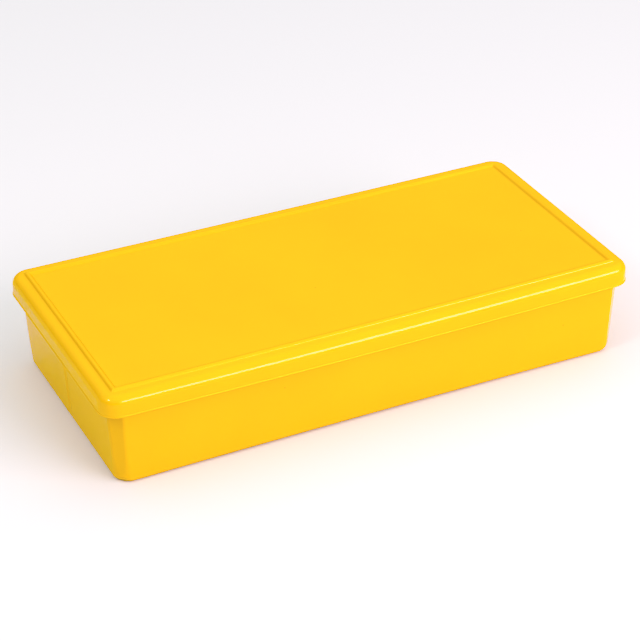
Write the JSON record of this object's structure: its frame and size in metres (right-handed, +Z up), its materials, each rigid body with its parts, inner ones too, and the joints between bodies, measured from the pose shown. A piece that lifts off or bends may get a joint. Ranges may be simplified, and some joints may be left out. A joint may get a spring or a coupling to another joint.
{
  "type": "pencil case",
  "caption": "Shallow rectangular moulded-plastic pencil case: a drafted tray with a lengthwise divider under a lift-off lid with a deep overhanging skirt and a raised border line.",
  "frame": {"origin": "centre of the case on the surface it stands on, under the tray's foot ring", "axes": "+X along the case's length, +Y across its width, +Z up through the lid"},
  "size_m": [0.22, 0.104, 0.0404],
  "materials": {
    "tray_plastic": "satin, fine moulded texture",
    "lid_plastic": "satin, fine moulded texture"
  },
  "bodies": {
    "tray": {"tray": "tray_plastic"},
    "lid": {"lid": "lid_plastic"}
  },
  "joints": [
    {"name": "lid_lift", "type": "slide", "parent": "tray", "child": "lid", "axis": [0, 0, 1], "range_m": [0, 0.08]}
  ]
}
